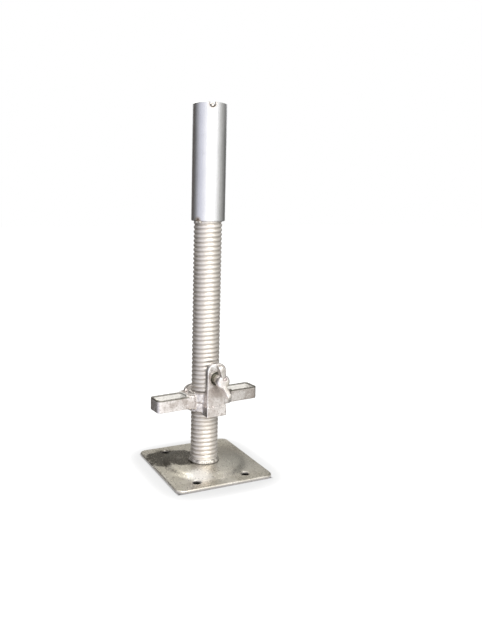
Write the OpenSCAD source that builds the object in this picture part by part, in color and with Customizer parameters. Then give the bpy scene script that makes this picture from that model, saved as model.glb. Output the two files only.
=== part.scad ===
// Scaffold base jack: pressed foot plate, threaded spindle, plain spigot sleeve,
// cast adjusting nut with two loop handles, and a wing bolt that locks the frame tube.
// Millimetres. Origin under the middle of the foot plate, +Z up, -Y towards the wing bolt.

/* [Foot plate] */
// Width of the foot plate along X
plate_width = 142; // [100:1:200]
// Length of the foot plate along Y
plate_length = 150; // [100:1:200]
// Thickness of the plate
plate_thickness = 5; // [3:0.5:10]
// Radius of the plate's corners in plan
plate_corner = 11; // [4:1:30]
// Rolled-over radius of the plate's edges
plate_edge = 1.8; // [0.5:0.1:2.4]
// Radius of the pressed dome
dome_radius = 59; // [40:1:60]
// Height of the dome above the plate
dome_rise = 5.5; // [2:0.5:12]
// Nail holes, distance between centres along X
hole_pitch_x = 72; // [40:1:110]
// Nail holes, distance between centres along Y
hole_pitch_y = 112; // [40:1:120]
// Diameter of the nail holes
hole_diameter = 12; // [8:1:20]
// Diameter of the drain hole under the spindle
drain_diameter = 22; // [6:1:26]

/* [Spindle] */
// Diameter over the thread's crests
thread_diameter = 38; // [30:0.5:48]
// Depth of the rolled thread
thread_depth = 1.7; // [0.5:0.1:3]
// Pitch of the thread
thread_pitch = 6; // [4:0.5:10]
// Whole turns of thread
thread_turns = 56; // [20:1:60]
// Diameter of the bore through the spindle
spindle_bore = 29; // [16:1:32]

/* [Sleeve] */
// Outside diameter of the plain sleeve
sleeve_diameter = 45; // [40:0.5:52]
// Height of the sleeve's lower edge above the ground
sleeve_bottom = 344; // [300:1:360]
// Height of the sleeve's top above the ground
sleeve_top = 495; // [400:1:600]
// Rounding of the sleeve's two rims
sleeve_rounding = 1.6; // [0.5:0.1:2.5]
// Width of the plug-weld notch in the sleeve's upper rim
notch_width = 7; // [4:0.2:10]
// Depth of that notch
notch_depth = 6.4; // [4:0.2:12]

/* [Adjusting nut] */
// Height of the nut's underside above the ground
nut_height = 85; // [40:1:300]
// Angle by which the handles are turned from the plate's front edge
nut_turn = 5.4; // [-180:0.1:180]
// Outside radius of the nut's body
hub_radius = 27; // [24:0.5:34]
// Height of the nut's body
hub_height = 28; // [20:1:40]
// Reach of a handle from the axis
handle_reach = 78.5; // [60:0.5:110]
// Width of a handle
handle_width = 27; // [18:1:34]
// Height of a handle
handle_height = 17; // [10:0.5:24]
// Wall around the window in a handle
handle_wall = 3.2; // [2:0.1:7]
// Angle of the lug and its bolt away from square to the handles
lug_turn = -2.4; // [-10:0.1:10]
// Width of the lug that carries the wing bolt
lug_width = 28; // [20:1:40]
// Distance from the axis to the lug's outer face
lug_face = 34; // [32:0.5:44]
// Thickness of the lug
lug_thickness = 7.7; // [5:0.1:12]
// Height of the lug above the nut's underside
lug_height = 71; // [50:1:90]

/* [Wing bolt] */
// Height of the bolt above the nut's underside
bolt_height = 50.5; // [40:0.5:60]
// Diameter of the bolt's shank
bolt_diameter = 13; // [10:1:20]
// Distance from the lug's face to the front of the bolt's head
bolt_proud = 20; // [12:1:30]
// Diameter of the bolt's head
head_diameter = 18.5; // [14:0.5:24]
// Span over the two wings
wing_span = 50; // [36:1:70]
// Thickness of a wing
wing_thickness = 5.5; // [3:0.5:8]
// Distance of each wing's middle plane from the bolt's axis
wing_offset = 2; // [0:0.1:7]
// Angle by which the wings lean from upright
wing_turn = 24; // [-180:1:180]

/* [Hidden] */
$fn = 96;

eps = 0.5;
running_fit = 0.06;
sleeve_fit = 0.1;
galvanised = [0.70, 0.70, 0.67];
casting = [0.80, 0.78, 0.76];
weld_metal = [0.60, 0.58, 0.54];

dome_top = plate_thickness + dome_rise;
bank_width = 9;
bank_rise = 3.2;
weld_reach = 3.2;
weld_rise = 4.5;
thread_radius = thread_diameter / 2;
root_radius = thread_radius - thread_depth;
sleeve_bore = thread_radius + sleeve_fit;
plug_radius = 2.9;
spindle_bottom = crown_surface(spindle_bore / 2) - 0.02;
spindle_top = sleeve_top - 3;
notch_turn = -106;
tack_turn = -153;
thread_start = spindle_bottom + 2;

// The nut's body is cast in two rounded halves that meet at the parting line.
parting_height = hub_height / 2;
hub_rounding = 4;
nut_bore = thread_radius + running_fit;
handle_bottom = 6.8;
handle_tip = 5;
window_start = 33;
root_boss_radius = 16;
root_boss_centre = 26;
lug_shoulder = 11;
lug_step = 1.5;
lug_drop = 2;
lug_step_height = 12;
rear_wall_radius = 29;
rear_wall_top = hub_height + 2;
tube_clearance_radius = 25.9;
bolt_hole = bolt_diameter / 2 + running_fit;
bolt_end = lug_face - lug_thickness;
recess_diameter = 18.6;
recess_depth = 4.5;
head_start = 9;
head_rounding = 3.5;
wing_middle = 18.5;
wing_tip = 5.5;
dimple_radius = 3;

// A square-cornered bar section, rounded along its outer side.
module rounded_edge_section(width, height, rounding) {
    square([width - rounding, height]);
    translate([0, rounding])
        square([width, height - 2 * rounding]);
    for (centre = [rounding, height - rounding])
        translate([width - rounding, centre])
            circle(r = rounding);
}

// Flat slab with round corners in plan and rolled-over edges all round.
module rolled_edge_slab(width, length, corner, height, rounding) {
    across = width - 2 * corner;
    along = length - 2 * corner;
    translate([-across / 2, -along / 2, 0])
        cube([across, along, height]);
    for (turn = [0, 180])
        rotate(turn) {
            translate([across / 2, along / 2, 0])
                rotate_extrude(angle = 90)
                    rounded_edge_section(corner, height, rounding);
            translate([-across / 2, along / 2, 0])
                rotate(90)
                    rotate_extrude(angle = 90)
                        rounded_edge_section(corner, height, rounding);
            translate([across / 2, along / 2, 0])
                rotate([90, 0, 0])
                    linear_extrude(along)
                        rounded_edge_section(corner, height, rounding);
            translate([-across / 2, along / 2, 0])
                rotate([90, 0, 90])
                    linear_extrude(across)
                        rounded_edge_section(corner, height, rounding);
        }
}

// Radius of the sphere that a cap with a given edge radius and rise is cut from.
function cap_sphere(radius, rise) = (radius * radius + rise * rise) / (2 * rise);

// Half section of the dome: a steep bank round a shallow crown. The skirt continues
// the section below the X axis.
module dome_section(radius, skirt) {
    crown_radius = radius - bank_width;
    crown_rise = dome_rise - bank_rise;
    sphere_radius = cap_sphere(crown_radius, crown_rise);
    polygon([
        [0, -skirt],
        [radius, -skirt],
        [radius, 0],
        [crown_radius, bank_rise],
        [0, bank_rise]]);
    intersection() {
        translate([0, dome_rise - sphere_radius])
            circle(r = sphere_radius, $fn = 360);
        square([crown_radius, dome_rise]);
    }
}

// Pressed plate: the dome's underside is hollow, so the rim alone meets the ground.
module base_plate() {
    color(galvanised)
        difference() {
            union() {
                rolled_edge_slab(plate_width, plate_length, plate_corner,
                                 plate_thickness, plate_edge);
                translate([0, 0, plate_thickness])
                    rotate_extrude()
                        dome_section(dome_radius, 0);
            }
            rotate_extrude()
                dome_section(dome_radius - plate_thickness / 2, eps);
            cylinder(d = drain_diameter, h = dome_top + eps);
            for (x = [-0.5, 0.5], y = [-0.5, 0.5])
                translate([x * hole_pitch_x, y * hole_pitch_y, -eps])
                    cylinder(d = hole_diameter, h = dome_top);
        }
}

// Height of the crown's surface at a distance from the axis.
function crown_surface(distance) =
    let (sphere_radius = cap_sphere(dome_radius - bank_width, dome_rise - bank_rise))
    dome_top - sphere_radius
        + sqrt(sphere_radius * sphere_radius - distance * distance);

// A single swelling of the bead, one unit high, centred on an angle.
function swelling(angle, centre, width) =
    exp(-pow((((angle - centre + 540) % 360) - 180) / width, 2));

// Uneven run of the bead round the foot, with two heavy ends where the arc stopped.
function bead_swell(angle) =
    0.35 * sin(5 * angle) + 0.25 * sin(13 * angle + 40)
    + 1.1 * swelling(angle, 160, 14)
    + 0.9 * swelling(angle, -38, 12);

// Fillet weld that joins the spindle's foot to the dome's crown.
module base_weld() {
    steps = 72;
    inner = thread_radius;
    // One loop of five points round the bead's section, for every step round the foot.
    points = [
        for (step = [0:steps - 1])
            let (angle = step * 360 / steps,
                 swell = bead_swell(angle),
                 reach = weld_reach + swell,
                 rise = weld_rise + 0.6 * swell)
            for (corner = [
                [inner, crown_surface(inner)],
                [inner + reach, crown_surface(inner + reach)],
                [inner + 0.82 * reach, crown_surface(inner) + 0.42 * rise],
                [inner + 0.42 * reach, crown_surface(inner) + 0.84 * rise],
                [inner, crown_surface(inner) + rise]])
            [corner[0] * cos(angle), corner[0] * sin(angle), corner[1]]
    ];
    faces = [
        for (step = [0:steps - 1], side = [0:4])
            let (here = 5 * step,
                 next = 5 * ((step + 1) % steps),
                 other = (side + 1) % 5)
            for (half = [
                [here + side, here + other, next + other],
                [here + side, next + other, next + side]])
            half
    ];
    color(weld_metal)
        polyhedron(points = points, faces = faces, convexity = 4);
}

// Threaded tube, one closed skin: a helical outside, two flat ends and a plain bore.
// The skin's rows climb by one pitch each turn, so every row runs along the thread.
// The first and last rows lie flat, which leaves a short run-out at both ends.
module spindle() {
    sides = 24;
    // Section of one pitch: where each row lies along the pitch, and its radius.
    row_places = [0, 0.2, 0.48, 0.7];
    row_radii = [root_radius, root_radius, thread_radius, thread_radius];
    levels = len(row_places);
    last = levels * thread_turns + 1;
    thread_end = thread_start + thread_pitch * (thread_turns + 1);
    lead_in = 0.15 * thread_pitch;

    function row_radius(row) =
        row == 0 || row == last ? thread_radius : row_radii[(row - 1) % levels];
    function row_height(row, side) =
        row == 0 ? thread_start
        : row == last ? thread_end
        : thread_start + lead_in
          + thread_pitch * (floor((row - 1) / levels)
                            + row_places[(row - 1) % levels] + side / sides);
    function around(radius, side, height) =
        [radius * cos(360 * side / sides), radius * sin(360 * side / sides), height];
    function skin(row, side) =
        side < sides ? row * sides + side : (row + levels) * sides;
    function end_ring(ring, side) = (last + 1 + ring) * sides + side % sides;

    points = [
        for (row = [0:last], side = [0:sides - 1])
            around(row_radius(row), side, row_height(row, side)),
        for (ring = [
                [thread_radius, spindle_bottom],
                [spindle_bore / 2, spindle_bottom],
                [spindle_bore / 2, spindle_top],
                [thread_radius, spindle_top]], side = [0:sides - 1])
            around(ring[0], side, ring[1])
    ];
    quads = [
        for (row = [0:last - 1], side = [0:sides - 1])
            if (side < sides - 1 || row + levels < last)
                [skin(row, side), skin(row + 1, side),
                 skin(row + 1, side + 1), skin(row, side + 1)],
        for (side = [0:sides - 1])
            let (beside = (side + 1) % sides)
            for (quad = [
                [end_ring(0, side), side, beside, end_ring(0, beside)],
                [end_ring(1, beside), end_ring(1, side),
                 end_ring(0, side), end_ring(0, beside)],
                [end_ring(2, beside), end_ring(2, side),
                 end_ring(1, side), end_ring(1, beside)],
                [end_ring(3, side), end_ring(2, side),
                 end_ring(2, beside), end_ring(3, beside)],
                [last * sides + side, end_ring(3, side),
                 end_ring(3, beside), last * sides + beside]])
            quad
    ];
    // The step left where the first turn begins and the last turn stops.
    steps = [
        for (row = [0:levels - 1])
            [skin(0, sides - 1), skin(row + 1, 0), skin(row, 0)],
        for (row = [last - levels:last - 1])
            [skin(row, sides - 1), skin(row + 1, sides - 1), skin(last, 0)]
    ];
    triangles = [
        for (quad = quads)
            for (half = [[quad[0], quad[1], quad[2]], [quad[0], quad[2], quad[3]]])
            half
    ];
    color(galvanised)
        rotate(65)
            polyhedron(points = points, faces = concat(triangles, steps), convexity = 10);
}

// Radial slot with a round end, open at the top; it stands on the X axis.
module rim_notch(width, depth) {
    translate([0, 0, sleeve_top - depth + width / 2]) {
        rotate([0, 90, 0])
            cylinder(d = width, h = sleeve_diameter);
        translate([0, -width / 2, 0])
            cube([sleeve_diameter, width, depth]);
    }
}

// Plain tube over the spindle's head; the frame's leg drops over it.
module sleeve() {
    color(galvanised)
        difference() {
            translate([0, 0, sleeve_bottom])
                rotate_extrude()
                    rounded_edge_section(sleeve_diameter / 2, sleeve_top - sleeve_bottom,
                                         sleeve_rounding);
            cylinder(r = sleeve_bore, h = sleeve_top + eps);
            rotate(notch_turn)
                rim_notch(notch_width, notch_depth);
        }
}

// Short row of weld beads, laid crosswise on the X axis.
module bead_row(radius, step) {
    for (place = [-1, 0, 1])
        translate([0, step * place, 0])
            sphere(r = radius, $fn = 32);
}

// Plug weld in the rim's notch, and two tack welds under the sleeve's lower edge.
module sleeve_welds() {
    color(weld_metal) {
        difference() {
            rotate(notch_turn)
                translate([sleeve_diameter / 2 - plug_radius - 0.3, 0, sleeve_top - notch_depth + 2])
                    sphere(r = plug_radius, $fn = 48);
            cylinder(r = thread_radius, h = spindle_top);
            difference() {
                cylinder(d = sleeve_diameter + 4 * eps, h = sleeve_top + eps);
                cylinder(r = sleeve_bore, h = sleeve_top + 2 * eps);
                rotate(notch_turn)
                    rim_notch(notch_width, notch_depth);
            }
        }
        for (turn = [0, 180])
            difference() {
                rotate(tack_turn + turn)
                    translate([thread_radius + 1, 0, sleeve_bottom - 0.4])
                        bead_row(2.4, 2.4);
                cylinder(r = sleeve_bore, h = sleeve_top);
                translate([0, 0, sleeve_bottom])
                    cylinder(d = sleeve_diameter + 4 * eps, h = 10);
            }
    }
}

// One rounded half of the nut's body, solid; the bore is cut through both halves.
module hub_half() {
    rotate_extrude()
        rounded_edge_section(hub_radius, parting_height, hub_rounding);
}

// Bar with rounded tip corners in plan, from the axis out along +X.
module handle_outline(reach, width, corner) {
    translate([0, -width / 2])
        square([reach - corner, width]);
    translate([0, corner - width / 2])
        square([reach, width - 2 * corner]);
    for (side = [-1, 1])
        translate([reach - corner, side * (width / 2 - corner)])
            circle(r = corner);
}

// Loop handle, with the round boss that blends it into the body.
module handle() {
    translate([0, 0, handle_bottom])
        linear_extrude(handle_height)
            handle_outline(handle_reach, handle_width, handle_tip);
    translate([root_boss_centre, 0, handle_bottom - 1])
        rotate_extrude()
            rounded_edge_section(root_boss_radius, handle_height + 3, 3);
}

// Upright opening through a handle.
module handle_window() {
    inside = handle_width - 2 * handle_wall;
    length = handle_reach - handle_wall - window_start;
    corner = handle_tip - 1.5;
    translate([window_start, 0, -eps])
        linear_extrude(hub_height + 2 * eps)
            intersection() {
                handle_outline(length, inside, corner);
                translate([length, 0])
                    mirror([1, 0])
                        handle_outline(length, inside, corner);
            }
}

// Lug seen along the bolt: straight sides and a top with two round shoulders.
module lug_outline(height) {
    translate([-lug_width / 2, 0])
        square([lug_width, height - lug_shoulder]);
    translate([lug_shoulder - lug_width / 2, 0])
        square([lug_width - 2 * lug_shoulder, height]);
    for (side = [-1, 1])
        translate([side * (lug_width / 2 - lug_shoulder), height - lug_shoulder])
            circle(r = lug_shoulder);
}

// Lug with its foot block, on the -Y side of the nut.
module lug() {
    translate([0, -bolt_end, 0])
        rotate([90, 0, 0])
            linear_extrude(lug_thickness)
                lug_outline(lug_height);
    translate([-(lug_width + lug_step) / 2, -lug_face - lug_step, -lug_drop])
        cube([lug_width + lug_step, lug_face + lug_step, lug_step_height + lug_drop]);
    translate([-lug_width / 2, -lug_face, 0])
        cube([lug_width, lug_face, hub_height - lug_step]);
}

// Hole for the bolt, with a wide recess where it comes out of the lug's face.
module bolt_passage() {
    translate([0, eps - bolt_end, bolt_height])
        rotate([90, 0, 0])
            cylinder(r = bolt_hole, h = lug_thickness + 2 * eps);
    translate([0, recess_depth - lug_face, bolt_height])
        rotate([90, 0, 0])
            cylinder(d = recess_diameter, h = recess_depth + eps);
}

// Low wall round the back of the tube's seat, opposite the lug.
module rear_wall() {
    intersection() {
        rotate_extrude()
            rounded_edge_section(rear_wall_radius, rear_wall_top, 3);
        translate([-rear_wall_radius, hub_radius / 4, 0])
            cube([2 * rear_wall_radius, rear_wall_radius, rear_wall_top]);
    }
}

// One malleable casting: body, loop handles, lug and rear wall.
module adjusting_nut() {
    color(casting)
        translate([0, 0, nut_height])
            rotate(nut_turn)
                difference() {
                    union() {
                        hub_half();
                        translate([0, 0, parting_height])
                            hub_half();
                        for (side = [0, 180])
                            rotate(side)
                                handle();
                        rotate(lug_turn)
                            lug();
                        rear_wall();
                    }
                    translate([0, 0, -lug_drop - eps])
                        cylinder(r = nut_bore, h = lug_height);
                    translate([0, 0, hub_height])
                        cylinder(r = tube_clearance_radius, h = lug_height);
                    for (side = [0, 180])
                        rotate(side)
                            handle_window();
                    rotate(lug_turn)
                        bolt_passage();
                }
}

// Side view of a wing: a tapering ear with a round tip, from the axis up along +Y.
module wing_outline() {
    lift = wing_span / 2 - wing_tip;
    polygon([
        [head_start, 0],
        [bolt_proud - 1, 0],
        [wing_middle + wing_tip, lift],
        [wing_middle - wing_tip, lift]]);
    translate([wing_middle, lift])
        circle(r = wing_tip);
}

// Screw with a domed head and two offset wings; it clamps the tube against the thread.
module wing_bolt() {
    shank_length = lug_face - bolt_end;
    color(casting)
        translate([0, 0, nut_height])
            rotate(nut_turn + lug_turn)
                translate([0, -lug_face, bolt_height])
                    rotate([90, 0, 0])
                        difference() {
                            union() {
                                translate([0, 0, -shank_length])
                                    cylinder(d = bolt_diameter, h = shank_length + head_start);
                                translate([0, 0, head_start])
                                    rotate_extrude()
                                        rounded_edge_section(head_diameter / 2,
                                                             bolt_proud - head_start,
                                                             head_rounding);
                                for (side = [0, 180])
                                    rotate(wing_turn + side)
                                        translate([wing_offset - wing_thickness / 2, 0, 0])
                                            rotate([0, -90, 0])
                                                mirror([0, 0, 1])
                                                    linear_extrude(wing_thickness)
                                                        wing_outline();
                            }
                            translate([1, 4.5, bolt_proud])
                                sphere(r = dimple_radius, $fn = 32);
                        }
}

base_plate();
base_weld();
spindle();
sleeve();
sleeve_welds();
adjusting_nut();
wing_bolt();
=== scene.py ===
"""Looks of the scaffold base jack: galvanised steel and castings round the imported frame. Metres."""

from math import cos, exp, pi, radians, sin, tau

import bpy
from mathutils import Matrix, Vector, noise


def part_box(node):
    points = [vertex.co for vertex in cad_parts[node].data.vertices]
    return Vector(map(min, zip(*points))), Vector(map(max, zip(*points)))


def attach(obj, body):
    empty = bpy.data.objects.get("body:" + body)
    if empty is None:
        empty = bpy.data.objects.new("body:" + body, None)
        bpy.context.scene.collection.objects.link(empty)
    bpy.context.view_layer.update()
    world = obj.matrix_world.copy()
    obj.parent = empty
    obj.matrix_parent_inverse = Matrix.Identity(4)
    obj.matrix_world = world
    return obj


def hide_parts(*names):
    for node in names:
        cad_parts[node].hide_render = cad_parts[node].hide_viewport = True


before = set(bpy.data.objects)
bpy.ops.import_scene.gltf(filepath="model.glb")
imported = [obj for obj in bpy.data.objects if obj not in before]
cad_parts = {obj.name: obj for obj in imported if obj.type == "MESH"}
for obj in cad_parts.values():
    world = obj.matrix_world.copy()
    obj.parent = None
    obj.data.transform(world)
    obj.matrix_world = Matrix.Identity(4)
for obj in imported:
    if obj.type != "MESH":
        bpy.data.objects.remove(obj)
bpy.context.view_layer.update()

MM = 0.001

# Camera: where it stands and how it is held.
CAMERA_PLACE = Vector((-0.380, -0.809, 0.382))
CAMERA_HEADING = radians(64.8)
CAMERA_PITCH = radians(9.2)
CAMERA_ROLL = radians(1.03)
SENSOR = 36.0
LENS = 37.46
SHIFT = (0.053, -0.032)

# Spindle: its thread, and the weld bead round its foot
THREAD_RADIUS = 19.0 * MM
THREAD_DEPTH = 1.4 * MM
THREAD_PITCH = 6.0 * MM
SPINDLE_BORE = 14.5 * MM
RUN_OUT = 5.0 * MM
THREAD_ABOVE_FOOT = 5.0 * MM
THREAD_INTO_SLEEVE = 14.0 * MM
WELD_REACH = 2.4 * MM
WELD_RISE = 4.5 * MM
WELD_RIPPLES = 62
RIPPLE_REACH = 0.45 * MM
RIPPLE_RISE = 0.35 * MM
# The bead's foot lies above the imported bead's lowest point, which is further down the dome.
# Its section starts a little below that foot, and inside the spindle's wall.
WELD_LIFT = 0.7 * MM
WELD_UNDER = 0.4 * MM
WELD_INSIDE = 0.6 * MM

# Sleeve: the notch in its rim, with a tan tint round it and painted shade on its cut edge, and the
# tack weld under its lower edge
NOTCH_TURN = radians(-106.0)
NOTCH_HEIGHT = 492.1 * MM
NOTCH_RADIUS = 3.5 * MM
TAN = (0.46, 0.38, 0.30)
NOTCH_SHADE = (0.06, 0.05, 0.04)
TACK_TINT = ((-0.0198, -0.0104, 0.3450), 0.002, 0.0065)
TACK_SPOT = ((-0.0196, -0.0110, 0.3466), 0.0006, 0.0018)

# Patches on the plate: centre, and where each begins to fade and ends. At the back left, stains with
# a painted shadow of the spindle and nut over them; beside the spindle on the right, painted shade;
# to the front right, darker;
# at the front left, a painted highlight on the dome's bank.
STAIN_AND_SHADOW_LEFT = ((-0.042, 0.032, 0.006), 0.022, 0.044)
STAIN_AND_SHADOW_NEAR = ((-0.021, 0.014, 0.008), 0.018, 0.036)
PAINTED_SHADE_RIGHT = ((0.046, 0.018, 0.006), 0.012, 0.048)
DARKER_FRONT_RIGHT = ((0.040, -0.018, 0.006), 0.010, 0.050)
PAINTED_HIGHLIGHT_FRONT = ((-0.025, -0.043, 0.006), 0.006, 0.026)

# Plate: nail holes, the pressed ring that is eased, and heights between which a tone fades: at the
# rim, and low in the holes' walls, which are painted dark as painted shade
NAIL_PLACE = (36.0 * MM, 56.0 * MM)
NAIL_RADIUS = 6.0 * MM
NAIL_CLEARANCE = 9.0 * MM
DOME_INNER = 20.0 * MM
DOME_OUTER = 68.0 * MM
RIM_FADE = (3.2 * MM, 4.4 * MM)
HOLE_FADE = (2.2 * MM, 3.0 * MM)

# Nut: turned a little from the plate's edge, with a window through each handle
NUT_TURN = radians(5.4)
HANDLE_START = 30.0 * MM
HANDLE_TOP = 108.8 * MM
WINDOW_START = 33.0 * MM
WINDOW_END = 75.3 * MM
WINDOW_HALF_WIDTH = 10.4 * MM
# Spots and painted light on the castings: centre, where each begins to fade and ends, strength,
# colour.
# On the nut, in order: painted shade in the countersink round the bolt; painted shade on the lug's
# face below the bolt;
# a painted highlight on its face above left of the bolt; the lug's inner face painted dark at two
# heights, a painted shade that the thread beside it shows as a dark reflection in place of the lug's
# shadow.
# On the bolt: a pale yellow tint on its barrel, partly its colour and partly painted light; a dark
# reddish spot on its head's front.
NUT_PAINTED_SHADE_AND_HIGHLIGHT = ((((0.0015, -0.0295, 0.1355), 0.0080, 0.0093), 0.9, (0.06, 0.055, 0.045)),
             (((0.0030, -0.0340, 0.1180), 0.0060, 0.0140), 0.8, (0.34, 0.29, 0.26)),
             (((-0.0070, -0.0340, 0.1500), 0.0040, 0.0110), 0.8, (0.94, 0.93, 0.92)),
             (((0.0011, -0.0205, 0.1230), 0.0090, 0.0125), 0.9, (0.10, 0.11, 0.11)),
             (((0.0011, -0.0205, 0.1400), 0.0090, 0.0125), 0.9, (0.10, 0.11, 0.11)))
BOLT_MARKS_AND_PAINTED_LIGHT = ((((0.0015, -0.0295, 0.1355), 0.0070, 0.0150), 0.7, (0.92, 0.89, 0.72)),
              (((0.0038, -0.0538, 0.1400), 0.0018, 0.0036), 1.0, (0.20, 0.13, 0.11)))

# Floor. Distances are shares of the plate's half width: dark to the first, glowing at the plate's
# edge, and plain white at the last.
# Under the plate the dark is painted shade, and between the plate's edge and the last the glow dims
# towards the plate, a painted shadow.
FLOOR_SIZE = 12.0
FLOOR_DROP = 0.2 * MM
FLOOR_DARK_TO = 0.93
FLOOR_EDGE = 1.0
FLOOR_WHITE_TO = 1.9
FLOOR_GLOW = 0.68
FLOOR_GREY = (0.18, 0.18, 0.18)
FLOOR_UNDER_PLATE = (0.02, 0.02, 0.02)

# Studio
WORLD_DIM = 0.28
WALL_RADIUS = 0.32
WALL_FOOT = 0.112
WALL_CLEARANCE = 0.2 * MM
FRONT_CARD_RADIUS = 1.2
# What the metal sees round it: angle to the right of the camera, height of the wall, colour.
LEFT_WALL = ((-180, 0.25, 0.40, 0.39, 0.36), (-160, 0.28, 0.36, 0.35, 0.32),
             (-148, 0.52, 0.14, 0.13, 0.12), (-116, 0.70, 0.11, 0.10, 0.09),
             (-100, 1.0, 0.18, 0.18, 0.18),
             (-84, 1.0, 0.42, 0.42, 0.44), (-66, 1.0, 0.76, 0.77, 0.86),
             (-45, 1.0, 0.94, 0.95, 1.05), (-22, 1.0, 1.25, 1.25, 1.30))
FRONT_CARD = ((-22, 2.8, 1.35, 1.35, 1.38), (-8, 2.8, 1.46, 1.46, 1.46),
              (34, 2.8, 1.46, 1.46, 1.46), (46, 2.8, 1.40, 1.40, 1.38))
RIGHT_WALL = ((46, 1.0, 1.42, 1.42, 1.40), (56, 1.0, 1.10, 1.10, 1.07), (68, 1.0, 0.84, 0.84, 0.81),
              (84, 1.0, 0.58, 0.58, 0.55), (104, 0.8, 0.36, 0.36, 0.34),
              (122, 0.6, 0.19, 0.19, 0.18), (148, 0.48, 0.13, 0.13, 0.12),
              (162, 0.28, 0.36, 0.35, 0.32), (180, 0.25, 0.40, 0.39, 0.36))
# Bright strip high behind the object, seen in the pressed dome's banks.
BACK_CARD = ((138, 2.3, 0.9, 0.9, 0.87), (160, 2.3, 1.3, 1.3, 1.25), (176, 2.3, 1.6, 1.6, 1.5),
             (206, 2.3, 3.2, 3.2, 3.0), (232, 2.3, 1.8, 1.8, 1.7))
BACK_CARD_FOOT = 0.80
BACK_CARD_RADIUS = 0.9
BACK_CARD_LIP = 0.01


# ---------------------------------------------------------------- meshes

def link(name, mesh):
    """New object that shows a mesh, shaded smooth."""
    piece = bpy.data.objects.new(name, mesh)
    bpy.context.scene.collection.objects.link(piece)
    mesh.polygons.foreach_set("use_smooth", [True] * len(mesh.polygons))
    return piece


def from_rings(name, rings):
    """Closed skin through a row of equal rings; the last ring joins the first."""
    count = len(rings[0])
    points = [point for ring in rings for point in ring]
    faces = []
    for row in range(len(rings)):
        beside = (row + 1) % len(rings)
        for side in range(count):
            across = (side + 1) % count
            faces.append((row * count + side, row * count + across,
                          beside * count + across, beside * count + side))
    mesh = bpy.data.meshes.new(name)
    mesh.from_pydata(points, [], faces)
    mesh.validate()
    return link(name, mesh)


def ring_at(radius, height, sides):
    """Points round the spindle's axis."""
    return [(radius * cos(tau * side / sides), radius * sin(tau * side / sides), height)
            for side in range(sides)]


def smooth_step(low, high, value):
    """0 at low and 1 at high, level at both ends."""
    part = min(max((value - low) / (high - low), 0.0), 1.0)
    return part * part * (3.0 - 2.0 * part)


def thread_radius(angle, height, start, end):
    """Rolled thread: broad round crests between narrower grooves, fading into the plain ends."""
    phase = height / THREAD_PITCH - angle / tau
    groove = (0.5 + 0.5 * cos(tau * phase)) ** 2.0
    fade = smooth_step(start, start + RUN_OUT, height) * smooth_step(end, end - RUN_OUT, height)
    return THREAD_RADIUS - THREAD_DEPTH * groove * fade


def make_spindle(sides=80, steps_a_pitch=14):
    """Hollow spindle with its real helical thread."""
    low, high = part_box("spindle")
    sleeve_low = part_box("sleeve")[0][2]
    start = low[2] + THREAD_ABOVE_FOOT
    end = sleeve_low + THREAD_INTO_SLEEVE
    rows = int((end - start) / THREAD_PITCH * steps_a_pitch)
    rings = [ring_at(SPINDLE_BORE, high[2], sides),
             ring_at(SPINDLE_BORE, low[2], sides),
             ring_at(THREAD_RADIUS, low[2], sides)]
    for row in range(rows + 1):
        height = start + (end - start) * row / rows
        ring = []
        for side in range(sides):
            angle = tau * side / sides
            radius = thread_radius(angle, height, start, end)
            ring.append((radius * cos(angle), radius * sin(angle), height))
        rings.append(ring)
    rings.append(ring_at(THREAD_RADIUS, high[2], sides))
    return from_rings("spindle_thread", rings)


def applied(piece):
    """Fix a piece's modifiers into its mesh."""
    graph = bpy.context.evaluated_depsgraph_get()
    mesh = bpy.data.meshes.new_from_object(piece.evaluated_get(graph))
    piece.modifiers.clear()
    piece.data = mesh
    return mesh


def soften(node, name, voxel, passes, roughness, grain=3.0 * MM):
    """Copy of a CAD node with its edges rounded as a casting's are, and a slightly uneven skin."""
    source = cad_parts[node]
    piece = link(name, source.data.copy())
    remesh = piece.modifiers.new("remesh", "REMESH")
    remesh.mode = "VOXEL"
    remesh.voxel_size = voxel
    remesh.use_smooth_shade = True
    smooth = piece.modifiers.new("smooth", "SMOOTH")
    smooth.factor = 0.5
    smooth.iterations = passes
    mesh = applied(piece)
    mesh.materials.clear()
    normals = [vertex.normal.copy() for vertex in mesh.vertices]
    for vertex, normal in zip(mesh.vertices, normals):
        swell = noise.noise(vertex.co / grain) + 0.5 * noise.noise(vertex.co / (0.4 * grain))
        vertex.co += normal * (roughness * swell)
        # nothing sinks below the ground
        vertex.co.z = max(vertex.co.z, 0.0)
    mark_edges_and_corners(piece)
    return piece


def ease_dome(piece, passes=110):
    """Let the pressed dome's banks run softly into the plate, clear of the nail holes."""
    group = piece.vertex_groups.new(name="dome")
    hole = Vector(NAIL_PLACE)
    chosen = []
    for vertex in piece.data.vertices:
        place = Vector((abs(vertex.co.x), abs(vertex.co.y)))
        pressed = DOME_INNER < place.length < DOME_OUTER
        if pressed and (place - hole).length > NAIL_CLEARANCE:
            chosen.append(vertex.index)
    group.add(chosen, 1.0, "REPLACE")
    smooth = piece.modifiers.new("ease", "SMOOTH")
    smooth.factor = 0.5
    smooth.iterations = passes
    smooth.vertex_group = "dome"
    applied(piece)
    piece.vertex_groups.clear()


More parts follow.
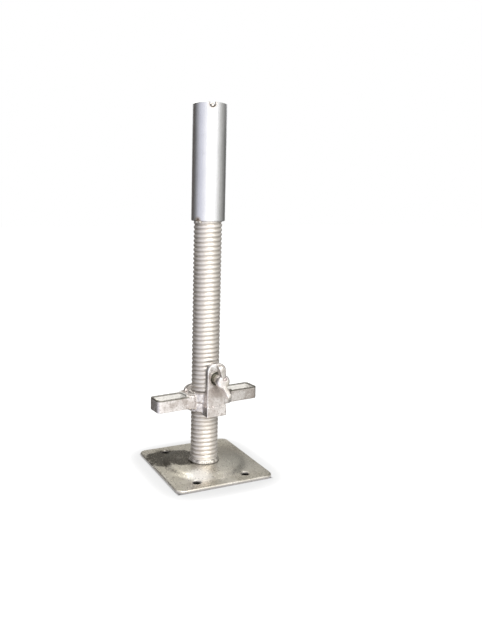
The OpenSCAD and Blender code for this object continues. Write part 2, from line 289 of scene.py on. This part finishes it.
def mark_edges_and_corners(piece):
    """Colour attribute on a mesh: red grows on outer edges, green in inner corners."""
    mesh = piece.data
    turns = [0.0] * len(mesh.vertices)
    counts = [0] * len(mesh.vertices)
    for edge in mesh.edges:
        first, second = (mesh.vertices[index] for index in edge.vertices)
        along = (second.co - first.co).normalized()
        turns[first.index] -= along.dot(first.normal)
        turns[second.index] += along.dot(second.normal)
        counts[first.index] += 1
        counts[second.index] += 1
    edges_and_corners = mesh.attributes.new("edges_and_corners", "FLOAT_COLOR", "POINT")
    for index, (turn, count) in enumerate(zip(turns, counts)):
        share = turn / max(count, 1)
        edges_and_corners.data[index].color = (max(share, 0.0), max(-share, 0.0), 0.0, 1.0)


def bead_swell(angle):
    """Uneven reach of the foot's weld: two heavy ends and a slow wander."""
    def lump(centre, width):
        """A single swelling, one unit high, centred on an angle in degrees."""
        away = (angle - radians(centre) + 3 * pi) % tau - pi
        return exp(-(away / radians(width)) ** 2)
    wander = 0.35 * sin(5 * angle) + 0.25 * sin(13 * angle + radians(40))
    return (wander + 0.8 * lump(165, 12) + 0.4 * lump(-30, 12)) * MM


def make_base_weld(sides=300, section=12):
    """Fillet bead round the spindle's foot, laid in overlapping ripples."""
    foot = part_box("base_weld")[0][2] + WELD_LIFT
    rings = []
    for side in range(sides):
        angle = tau * side / sides
        wobble = 0.35 * noise.noise((4 * cos(angle), 4 * sin(angle), 1.0))
        ripple = ((angle * WELD_RIPPLES / tau + wobble) % 1.0) ** 0.6
        reach = WELD_REACH + bead_swell(angle) + RIPPLE_REACH * (ripple - 0.6)
        rise = WELD_RISE + 0.6 * bead_swell(angle) + RIPPLE_RISE * (ripple - 0.6)
        ring = [(THREAD_RADIUS - WELD_INSIDE, foot - WELD_UNDER)]
        for step in range(section):
            turn = 0.5 * pi * step / (section - 1)
            swell = 1.0 - 0.16 * sin(2 * turn)
            ring.append((THREAD_RADIUS + reach * cos(turn) * swell,
                         foot + rise * sin(turn) * swell))
        ring.append((THREAD_RADIUS - WELD_INSIDE, foot + rise))
        rings.append([(r * cos(angle), r * sin(angle), z) for r, z in ring])
    piece = from_rings("base_weld_bead", rings)
    mark_edges_and_corners(piece)
    return piece


# ---------------------------------------------------------------- materials

class Surface:
    """A procedural material, built from short calls."""

    def __init__(self, name):
        self.material = bpy.data.materials.new(name)
        self.material.use_nodes = True
        self.tree = self.material.node_tree
        self.shader = self.tree.nodes["Principled BSDF"]
        self.place = self.tree.nodes.new("ShaderNodeTexCoord").outputs["Object"]

    def node(self, kind, **settings):
        """New node with its settings."""
        made = self.tree.nodes.new(kind)
        for key, value in settings.items():
            setattr(made, key, value)
        return made

    def join(self, source, target):
        self.tree.links.new(source, target)

    def scaled(self, x, y, z):
        """Object coordinates stretched along each axis."""
        mapping = self.node("ShaderNodeMapping")
        mapping.inputs["Scale"].default_value = (x, y, z)
        self.join(self.place, mapping.inputs["Vector"])
        return mapping.outputs["Vector"]

    def noise(self, scale, detail, rough, place=None):
        """Cloudy pattern between 0 and 1."""
        made = self.node("ShaderNodeTexNoise")
        made.inputs["Scale"].default_value = scale
        made.inputs["Detail"].default_value = detail
        made.inputs["Roughness"].default_value = rough
        self.join(place or self.place, made.inputs["Vector"])
        return made.outputs["Fac"]

    def spread(self, value, low, high, to_low=0.0, to_high=1.0):
        """A value between two limits, carried over smoothly to two others."""
        made = self.node("ShaderNodeMapRange", interpolation_type="SMOOTHSTEP")
        self.join(value, made.inputs["Value"])
        for key, number in (("From Min", low), ("From Max", high),
                            ("To Min", to_low), ("To Max", to_high)):
            made.inputs[key].default_value = number
        return made.outputs["Result"]

    def parts(self, turn=None):
        """The three object coordinates, in a frame that may be turned about Z."""
        place = self.place
        if turn is not None:
            turned = self.node("ShaderNodeVectorRotate", rotation_type="Z_AXIS")
            turned.inputs["Angle"].default_value = -turn
            self.join(place, turned.inputs["Vector"])
            place = turned.outputs["Vector"]
        made = self.node("ShaderNodeSeparateXYZ")
        self.join(place, made.inputs[0])
        return made.outputs

    def edges_and_corners(self):
        """How far the surface is an outer edge, and an inner corner, from mark_edges_and_corners."""
        seen = self.node("ShaderNodeAttribute", attribute_name="edges_and_corners")
        made = self.node("ShaderNodeSeparateColor")
        self.join(seen.outputs["Color"], made.inputs[0])
        return made.outputs["Red"], made.outputs["Green"]

    def from_notch(self):
        """Distance from the middle of the notch in the sleeve's upper rim, far off at the back."""
        parts = self.parts(NOTCH_TURN)
        below = self.sums("MINIMUM", self.sums("SUBTRACT", parts["Z"], NOTCH_HEIGHT), 0.0)
        squares = [self.sums("MULTIPLY", value, value) for value in (parts["Y"], below)]
        away = self.sums("SQRT", self.sums("ADD", *squares), 0.0)
        behind = self.spread(parts["X"], 0.0, 15.0 * MM, 100.0 * MM, 0.0)
        return self.sums("ADD", away, behind)

    def handles(self):
        """1 on the inner walls of the handles' windows, then 1 all along the handles' top rims."""
        parts = self.parts(NUT_TURN)
        along = self.sums("ABSOLUTE", parts["X"], 0.0)
        across = self.sums("ABSOLUTE", parts["Y"], 0.0)
        beside = self.spread(across, WINDOW_HALF_WIDTH, WINDOW_HALF_WIDTH + 0.5 * MM, 1.0, 0.0)
        beyond = self.spread(along, WINDOW_START - 1.0 * MM, WINDOW_START, 0.0, 1.0)
        before = self.spread(along, WINDOW_END, WINDOW_END + 0.5 * MM, 1.0, 0.0)
        inside = self.sums("MULTIPLY", beside, self.sums("MULTIPLY", beyond, before))
        above = self.spread(parts["Z"], HANDLE_TOP - 1.9 * MM, HANDLE_TOP - 0.8 * MM)
        below = self.spread(parts["Z"], HANDLE_TOP + 0.5 * MM, HANDLE_TOP + 1.0 * MM, 1.0, 0.0)
        rims = self.sums("MULTIPLY", above, below)
        out = self.spread(along, HANDLE_START, HANDLE_START + 4.0 * MM)
        return inside, self.sums("MULTIPLY", rims, out)

    def nail_holes(self):
        """1 on the walls of the plate's four holes."""
        away = self.node("ShaderNodeVectorMath", operation="ABSOLUTE")
        self.join(self.place, away.inputs[0])
        flat = self.node("ShaderNodeVectorMath", operation="MULTIPLY")
        self.join(away.outputs["Vector"], flat.inputs[0])
        flat.inputs[1].default_value = (1, 1, 0)
        apart = self.node("ShaderNodeVectorMath", operation="DISTANCE")
        self.join(flat.outputs["Vector"], apart.inputs[0])
        apart.inputs[1].default_value = (*NAIL_PLACE, 0)
        return self.spread(apart.outputs["Value"], NAIL_RADIUS + 0.1 * MM,
                           NAIL_RADIUS + 0.7 * MM, 1.0, 0.0)

    def length(self, place):
        """Distance from the origin."""
        made = self.node("ShaderNodeVectorMath", operation="LENGTH")
        self.join(place, made.inputs[0])
        return made.outputs["Value"]

    def round_patch(self, centre, fades, ends):
        """1 round a centre, fading to 0 between two radii."""
        away = self.node("ShaderNodeVectorMath", operation="DISTANCE")
        self.join(self.place, away.inputs[0])
        away.inputs[1].default_value = centre
        return self.spread(away.outputs["Value"], fades, ends, 1.0, 0.0)

    def sums(self, operation, first, second):
        """One sum on two values, each a number or a socket."""
        made = self.node("ShaderNodeMath", operation=operation)
        for socket, value in zip(made.inputs, (first, second)):
            if isinstance(value, (int, float)):
                socket.default_value = value
            else:
                self.join(value, socket)
        return made.outputs["Value"]

    def mix(self, amount, first, second):
        """Blend of two colours."""
        made = self.node("ShaderNodeMix", data_type="RGBA")
        for socket, value in ((made.inputs["Factor"], amount),
                              (made.inputs[6], first), (made.inputs[7], second)):
            if isinstance(value, tuple):
                socket.default_value = (*value, 1.0)
            elif isinstance(value, (int, float)):
                socket.default_value = value
            else:
                self.join(value, socket)
        return made.outputs[2]

    def paint(self, under, mask, amount, shade):
        """A colour with a flat shade laid over it where a mask is 1, up to an amount."""
        return self.mix(self.sums("MULTIPLY", mask, amount), under, shade)

    def bump(self, height, distance, strength=1.0, below=None):
        """Fine relief, laid over another if one is given."""
        made = self.node("ShaderNodeBump")
        made.inputs["Distance"].default_value = distance
        made.inputs["Strength"].default_value = strength
        self.join(height, made.inputs["Height"])
        if below is not None:
            self.join(below, made.inputs["Normal"])
        return made.outputs["Normal"]

    def finish(self, colour, roughness, normal, metallic=1.0):
        """Join everything to the shader and hand over the material."""
        self.join(colour, self.shader.inputs["Base Color"])
        self.join(roughness, self.shader.inputs["Roughness"])
        self.join(normal, self.shader.inputs["Normal"])
        if isinstance(metallic, float):
            self.shader.inputs["Metallic"].default_value = metallic
        else:
            self.join(metallic, self.shader.inputs["Metallic"])
        return self.material


def sleeve_zinc():
    """Bright drawn tube: fine streaks along it, faint clouds, a few dark specks."""
    surface = Surface("sleeve_zinc")
    streaks = surface.noise(1.0, 5.0, 0.6, surface.scaled(900, 900, 22))
    clouds = surface.noise(55.0, 3.0, 0.5)
    specks = surface.spread(surface.noise(420.0, 2.0, 0.5), 0.66, 0.74)
    colour = surface.mix(clouds, (0.62, 0.62, 0.64), (0.76, 0.76, 0.77))
    colour = surface.paint(colour, specks, 0.35, (0.36, 0.35, 0.34))
    # Round the notch: a tan tint, and painted shade on its cut edge. At the tack weld: a tan tint and
    # a dark spot.
    away = surface.from_notch()
    halo = surface.spread(away, NOTCH_RADIUS, NOTCH_RADIUS + 4.0 * MM, 0.6, 0.0)
    rim = surface.spread(away, NOTCH_RADIUS + 0.3 * MM, NOTCH_RADIUS + 1.0 * MM, 1.0, 0.0)
    for mask, shade in ((halo, TAN), (rim, NOTCH_SHADE), (surface.round_patch(*TACK_TINT), TAN),
                        (surface.round_patch(*TACK_SPOT), (0.08, 0.06, 0.05))):
        colour = surface.mix(mask, colour, shade)
    roughness = surface.spread(streaks, 0.3, 0.7, 0.22, 0.34)
    grain = surface.bump(streaks, 0.00006)
    normal = surface.bump(clouds, 0.0004, 0.5, grain)
    return surface.finish(colour, roughness, normal)


def thread_zinc():
    """Rolled thread: warm grey zinc, plain on the crests, darker in the grooves with grime and
    painted shade.
    """
    surface = Surface("thread_zinc")
    mottle = surface.noise(300.0, 4.0, 0.6)
    clouds = surface.noise(45.0, 3.0, 0.5)
    radius = surface.length(surface.scaled(1, 1, 0))
    depth = surface.spread(radius, THREAD_RADIUS - THREAD_DEPTH, THREAD_RADIUS, 1.0, 0.0)
    colour = surface.mix(clouds, (0.70, 0.65, 0.60), (0.84, 0.80, 0.76))
    colour = surface.mix(surface.spread(mottle, 0.5, 0.72, 0.0, 0.4), colour, (0.48, 0.42, 0.36))
    # Grime and painted shade, darkest at the bottom of the grooves.
    colour = surface.paint(colour, depth, 0.5, (0.42, 0.37, 0.31))
    roughness = surface.spread(mottle, 0.3, 0.7, 0.30, 0.44)
    normal = surface.bump(mottle, 0.0002)
    return surface.finish(colour, roughness, normal, 0.66)


def plate_zinc():
    """Dull khaki-grey dipped plate: cloudy, dark blotches at the back that are partly dirt and partly
    a painted shadow, painted shade beside the spindle, a painted highlight at the front left, paler
    edges and holes, the holes' walls painted dark low down as painted shade.
    """
    surface = Surface("plate_zinc")
    clouds = surface.noise(26.0, 5.0, 0.6)
    mottle = surface.noise(260.0, 5.0, 0.65)
    waves = surface.noise(200.0, 1.5, 0.5)
    colour = surface.mix(surface.spread(clouds, 0.35, 0.65),
                         (0.63, 0.59, 0.51), (0.80, 0.76, 0.69))
    colour = surface.mix(surface.spread(mottle, 0.5, 0.75, 0.0, 0.25), colour, (0.42, 0.38, 0.31))
    # Painted shade beside the spindle on the right, darker to the front right, and a painted
    # highlight on the dome's front left bank.
    for place, amount, shade in ((PAINTED_SHADE_RIGHT, 0.75, (0.34, 0.31, 0.27)),
                                 (DARKER_FRONT_RIGHT, 0.55, (0.42, 0.41, 0.38)),
                                 (PAINTED_HIGHLIGHT_FRONT, 0.75, (1.0, 0.98, 0.94))):
        colour = surface.paint(colour, surface.round_patch(*place), amount, shade)
    patches = surface.sums("ADD", surface.sums("MULTIPLY", surface.noise(70.0, 4.0, 0.6), 1.2),
                           surface.noise(330.0, 3.0, 0.6))
    # Dark blotches at the back left: stains, with a painted shadow of the spindle and nut.
    round_patch = surface.sums("MAXIMUM", surface.round_patch(*STAIN_AND_SHADOW_LEFT), surface.round_patch(*STAIN_AND_SHADOW_NEAR))
    dark = surface.spread(surface.sums("ADD", round_patch, patches), 1.50, 2.05)
    dark = surface.sums("MULTIPLY", dark, surface.spread(round_patch, 0.0, 0.2))
    colour = surface.paint(colour, dark, 0.94, (0.06, 0.052, 0.042))
    bare = surface.spread(surface.noise(520.0, 2.0, 0.6), 0.60, 0.68)
    colour = surface.paint(colour, bare, round_patch, (0.50, 0.46, 0.38))
    height = surface.parts()["Z"]
    edge = surface.spread(height, *RIM_FADE, 1.0, 0.0)
    colour = surface.paint(colour, edge, 0.85, (0.52, 0.49, 0.475))
    # Painted shade: the holes' walls are near black below this height.
    foot = surface.spread(height, *HOLE_FADE, 1.0, 0.0)
    colour = surface.paint(colour, foot, surface.nail_holes(), (0.02, 0.018, 0.015))
    roughness = surface.spread(mottle, 0.3, 0.7, 0.24, 0.40)
    normal = surface.bump(waves, 0.00010)
    matt = surface.sums("MAXIMUM", edge, surface.round_patch(*PAINTED_HIGHLIGHT_FRONT))
    metallic = surface.spread(matt, 0.0, 1.0, 0.85, 0.35)
    return surface.finish(colour, roughness, normal, metallic)


def cast_zinc(name, dull, pale, dirt, marks_and_painted_light):
    """Bright zinc on a sand casting: grainy skin, brown in the corners with dirt and painted shade,
    worn white on the edges partly as a painted highlight, painted light in the handles' windows and
    painted shade along their top rims.

    Its ground runs from a dull colour to a pale one, under an amount of dirt.
    """
    surface = Surface(name)
    grain = surface.noise(800.0, 4.0, 0.65)
    lumps = surface.noise(330.0, 4.0, 0.6)
    clouds = surface.noise(70.0, 4.0, 0.6)
    outer, inner = surface.edges_and_corners()
    colour = surface.mix(surface.spread(clouds, 0.36, 0.62), dull, pale)
    colour = surface.mix(surface.spread(lumps, 0.5, 0.68, 0.0, dirt), colour, (0.32, 0.27, 0.24))
    colour = surface.mix(surface.spread(grain, 0.52, 0.72, 0.0, 0.7 * dirt), colour,
                         (0.28, 0.24, 0.21))
    # Outer edges pale: worn, and a painted highlight. Inner corners dark: dirt and painted shade.
    colour = surface.mix(surface.spread(outer, 0.06, 0.22, 0.0, 0.9), colour, (0.96, 0.94, 0.93))
    colour = surface.mix(surface.spread(inner, 0.05, 0.20, 0.0, 0.85), colour, (0.10, 0.085, 0.07))
    inside, rims = surface.handles()
    # Painted light on the windows' inner walls, and painted shade along the handles' top rims.
    colour = surface.paint(colour, inside, 0.85, (0.91, 0.90, 0.87))
    colour = surface.paint(colour, rims, 0.85, (0.12, 0.11, 0.085))
    # Painted shade, a painted highlight and tints, laid from the tables at the top
    for place, amount, shade in marks_and_painted_light:
        colour = surface.paint(colour, surface.round_patch(*place), amount, shade)
    roughness = surface.spread(lumps, 0.3, 0.7, 0.24, 0.40)
    normal = surface.bump(grain, 0.00012, 0.7, surface.bump(lumps, 0.0003))
    metallic = surface.spread(inside, 0.0, 1.0, 0.85, 0.1)
    return surface.finish(colour, roughness, normal, metallic)


def weld_zinc():
    """Zinc over weld metal: lumpy, with dark slag specks, and dark between the ripples with slag and
    painted shade.
    """
    surface = Surface("weld_zinc")
    lumps = surface.noise(420.0, 4.0, 0.6)
    specks = surface.spread(surface.noise(520.0, 3.0, 0.6), 0.54, 0.62)
    _, inner = surface.edges_and_corners()
    colour = surface.mix(lumps, (0.56, 0.51, 0.45), (0.88, 0.85, 0.80))
    colour = surface.paint(colour, specks, 0.75, (0.16, 0.13, 0.10))
    # Dark in the inner corners, between the ripples: slag and painted shade.
    colour = surface.mix(surface.spread(inner, 0.03, 0.12, 0.0, 0.8), colour, (0.10, 0.08, 0.06))
    roughness = surface.spread(lumps, 0.3, 0.7, 0.26, 0.42)
    normal = surface.bump(lumps, 0.0004)
    return surface.finish(colour, roughness, normal, 0.8)


# ---------------------------------------------------------------- studio

def camera_axes():
    """Right, up and backward directions of the camera, as written at the top."""
    level = Vector((cos(CAMERA_HEADING), sin(CAMERA_HEADING), 0.0))
    sideways = Vector((sin(CAMERA_HEADING), -cos(CAMERA_HEADING), 0.0))
    upward = Vector((0.0, 0.0, 1.0))
    ahead = level * cos(CAMERA_PITCH) - upward * sin(CAMERA_PITCH)
    above = level * sin(CAMERA_PITCH) + upward * cos(CAMERA_PITCH)
    right = sideways * cos(CAMERA_ROLL) + above * sin(CAMERA_ROLL)
    top = above * cos(CAMERA_ROLL) - sideways * sin(CAMERA_ROLL)
    return right, top, -ahead


def make_camera():
    """The camera that was fitted to the photo."""
    data = bpy.data.cameras.new("camera")
    data.sensor_fit = "VERTICAL"
    data.sensor_height = SENSOR
    data.lens = LENS
    data.shift_x, data.shift_y = SHIFT
    camera = bpy.data.objects.new("camera", data)
    bpy.context.scene.collection.objects.link(camera)
    held = Matrix(camera_axes()).transposed().to_4x4()
    camera.matrix_world = Matrix.Translation(CAMERA_PLACE) @ held
    bpy.context.scene.camera = camera


def around(angle, distance, height):
    """Point seen from the object at an angle to the right of the camera, in degrees."""
    toward = CAMERA_HEADING + pi + radians(angle)
    return Vector((distance * cos(toward), distance * sin(toward), height))


def add_panel(name, place, target, side, power, colour=(1, 1, 1)):
    """Square lamp that faces a point."""
    data = bpy.data.lights.new(name, "AREA")
    data.shape = "RECTANGLE"
    data.size = side
    data.size_y = side
    data.energy = power
    data.color = colour
    lamp = bpy.data.objects.new(name, data)
    bpy.context.scene.collection.objects.link(lamp)
    lamp.location = place
    lamp.rotation_euler = (target - place).to_track_quat("-Z", "Y").to_euler()
    return lamp


def rays_that_see_white(tree):
    """1 for camera, glossy and transmission rays, 0 for the rest."""
    path = tree.nodes.new("ShaderNodeLightPath")
    seen = path.outputs["Is Camera Ray"]
    for kind in ("Is Glossy Ray", "Is Transmission Ray"):
        either = tree.nodes.new("ShaderNodeMath")
        either.operation = "MAXIMUM"
        tree.links.new(seen, either.inputs[0])
        tree.links.new(path.outputs[kind], either.inputs[1])
        seen = either.outputs[0]
    return seen


def make_floor():
    """White floor: it takes the object's shadow close by, with painted shade under the plate and a
    painted shadow where its glow dims round it, and is plain white further out.
    """
    bpy.ops.mesh.primitive_plane_add(size=FLOOR_SIZE, location=(0, 0, -FLOOR_DROP))
    floor = bpy.context.object
    floor.name = "floor"
    floor.data.materials.append(floor_white())


def floor_white():
    """Matt floor that glows for the camera and the metal, but not under the foot plate, where its
    colour is near black, a painted shade; round the plate its glow dims, a painted shadow.
    """
    half_width, half_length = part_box("base_plate")[1][:2]
    surface = Surface("floor_white")
    parts = surface.parts()
    shares = [surface.sums("DIVIDE", surface.sums("ABSOLUTE", parts[axis], 0.0), half)
              for axis, half in (("X", half_width), ("Y", half_length))]
    reach = surface.sums("MAXIMUM", *shares)
    near = surface.spread(reach, FLOOR_DARK_TO, FLOOR_EDGE, 0.0, FLOOR_GLOW)
    fourths = [surface.sums("POWER", share, 4.0) for share in shares]
    rounded = surface.sums("POWER", surface.sums("ADD", *fourths), 0.25)
    shadow = surface.spread(rounded, FLOOR_EDGE, FLOOR_WHITE_TO, 1.0, 0.0)
    shadow = surface.sums("POWER", shadow, 2.0)
    far = surface.spread(shadow, 0.0, 1.0, 1.0 - FLOOR_GLOW, 0.0)
    seen = rays_that_see_white(surface.tree)
    glow = surface.sums("MULTIPLY", surface.sums("ADD", near, far), seen)
    surface.join(glow, surface.shader.inputs["Emission Strength"])
    surface.shader.inputs["Emission Color"].default_value = (1, 1, 1, 1)
    # Painted shade: the floor is near black under the plate.
    under = surface.spread(reach, FLOOR_DARK_TO, FLOOR_EDGE, 1.0, 0.0)
    surface.join(surface.mix(under, FLOOR_GREY, FLOOR_UNDER_PLATE),
                 surface.shader.inputs["Base Color"])
    surface.shader.inputs["Roughness"].default_value = 1.0
    surface.shader.inputs["Specular IOR Level"].default_value = 0.0
    return surface.material


def make_world():
    """White for what the camera and the metal see, dim for everything else."""
    world = bpy.data.worlds.new("studio")
    bpy.context.scene.world = world
    world.use_nodes = True
    tree = world.node_tree
    background = tree.nodes["Background"]
    strength = tree.nodes.new("ShaderNodeMapRange")
    tree.links.new(rays_that_see_white(tree), strength.inputs["Value"])
    strength.inputs["To Min"].default_value = WORLD_DIM
    strength.inputs["To Max"].default_value = 1.0
    background.inputs["Color"].default_value = (1, 1, 1, 1)
    tree.links.new(strength.outputs["Result"], background.inputs["Strength"])


def add_wall(name, shades, radius, foot, steps=4):
    """Curved studio wall round the object, seen only in its reflections.

    Each entry of shades is an angle in degrees to the right of the camera, a height and a colour.
    foot is the line where the wall begins: a radius and a height.
    """
    entries = []
    for here, beside in zip(shades, shades[1:]):
        for step in range(steps):
            part = step / steps
            entries.append([a + (b - a) * part for a, b in zip(here, beside)])
    entries.append(shades[-1])
    points = []
    for angle, top, *_ in entries:
        for distance, height in (foot, (radius, foot[1]), (radius, top)):
            points.append(tuple(around(angle, distance, height)))
    faces = [(3 * i + row, 3 * i + row + 1, 3 * i + row + 4, 3 * i + row + 3)
             for i in range(len(entries) - 1) for row in (0, 1)]
    mesh = bpy.data.meshes.new(name)
    mesh.from_pydata(points, [], faces)
    shade = mesh.attributes.new("shade", "FLOAT_COLOR", "POINT")
    for index in range(len(points)):
        shade.data[index].color = (*entries[index // 3][2:], 1.0)
    wall = link(name, mesh)
    surface = Surface(name)
    seen = surface.node("ShaderNodeAttribute", attribute_name="shade")
    surface.join(seen.outputs["Color"], surface.shader.inputs["Emission Color"])
    surface.shader.inputs["Emission Strength"].default_value = 1.0
    surface.shader.inputs["Base Color"].default_value = (0, 0, 0, 1)
    surface.shader.inputs["Specular IOR Level"].default_value = 0.0
    mesh.materials.append(surface.material)
    for kind in ("camera", "diffuse", "shadow", "transmission", "volume_scatter"):
        setattr(wall, "visible_" + kind, False)


# ---------------------------------------------------------------- assembly

def dress(piece, body, material, node):
    """Give a piece its material, hang it on the empty of the body it rides on, and hide the CAD node
    it stands for.
    """
    piece.data.materials.clear()
    piece.data.materials.append(material)
    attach(piece, body)
    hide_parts(node)


nut_material = cast_zinc("nut_zinc", dull=(0.50, 0.45, 0.42), pale=(0.76, 0.72, 0.70),
                         dirt=0.55, marks_and_painted_light=NUT_PAINTED_SHADE_AND_HIGHLIGHT)
bolt_material = cast_zinc("bolt_zinc", dull=(0.60, 0.56, 0.51), pale=(0.82, 0.78, 0.77),
                          dirt=0.4, marks_and_painted_light=BOLT_MARKS_AND_PAINTED_LIGHT)
weld_material = weld_zinc()
sleeve_material = sleeve_zinc()
dress(make_spindle(), "jack", thread_zinc(), "spindle")
dress(make_base_weld(), "jack", weld_material, "base_weld")
nut = soften("adjusting_nut", "nut_casting", voxel=0.8 * MM, passes=6, roughness=0.12 * MM)
dress(nut, "nut", nut_material, "adjusting_nut")
bolt = soften("wing_bolt", "wing_bolt_casting", voxel=0.45 * MM, passes=6, roughness=0.08 * MM)
dress(bolt, "bolt", bolt_material, "wing_bolt")
beads = soften("sleeve_welds", "sleeve_weld_beads", voxel=0.25 * MM, passes=3,
               roughness=0.15 * MM, grain=1.2 * MM)
dress(beads, "jack", weld_material, "sleeve_welds")
plate = soften("base_plate", "base_plate_pressing", voxel=0.8 * MM, passes=5,
               roughness=0.06 * MM, grain=14.0 * MM)
ease_dome(plate)
dress(plate, "jack", plate_zinc(), "base_plate")
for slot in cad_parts["sleeve"].material_slots:
    slot.material = sleeve_material

make_camera()
make_floor()
make_world()
add_panel("key", around(24, 1.15, 1.0), Vector((0, 0, 0.2)), side=1.1, power=20.0,
          colour=(1.0, 0.995, 0.98))
behind = add_panel("behind", around(-155, 1.0, 1.0), Vector((0, 0, 0.1)), side=0.8, power=10.0)
behind.visible_glossy = False
floor_line = (WALL_FOOT, WALL_CLEARANCE)
add_wall("left_wall", LEFT_WALL, WALL_RADIUS, floor_line)
add_wall("right_wall", RIGHT_WALL, WALL_RADIUS, floor_line)
add_wall("front_card", FRONT_CARD, FRONT_CARD_RADIUS, floor_line)
card_line = (BACK_CARD_RADIUS - BACK_CARD_LIP, BACK_CARD_FOOT)
add_wall("back_card", BACK_CARD, BACK_CARD_RADIUS, card_line)
bpy.context.scene.view_settings.view_transform = "Standard"
